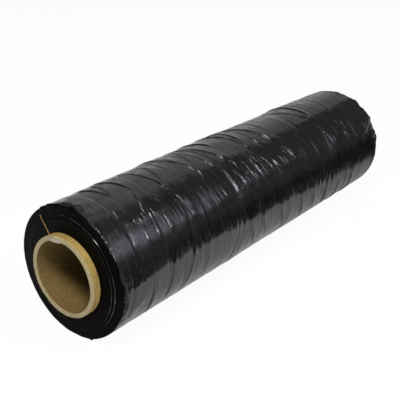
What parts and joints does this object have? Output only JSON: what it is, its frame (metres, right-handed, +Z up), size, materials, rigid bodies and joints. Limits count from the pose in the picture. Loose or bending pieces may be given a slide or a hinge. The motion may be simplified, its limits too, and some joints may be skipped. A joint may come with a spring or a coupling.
{
  "type": "stretch wrap roll",
  "caption": "Roll of black stretch film wound on a paperboard core that stands proud at both ends, lying on its side, with gathered outer turns and a plain round bore for a dispenser.",
  "frame": {"origin": "on the floor under the middle of the core's length and of the roll's width", "axes": "+X along the roll, away from the end seen in the picture; +Z up; -Y is the pictured side"},
  "size_m": [0.5292, 0.1412, 0.1406],
  "materials": {
    "black_film": "glossy stretched film with fine creases round the roll",
    "kraft_board": "plain spiral-wound kraft board",
    "kraft_ply": "torn kraft paper"
  },
  "bodies": {
    "root": {"film_roll": "black_film", "core_tube": "kraft_board", "ply_sliver": "kraft_ply"}
  },
  "joints": []
}
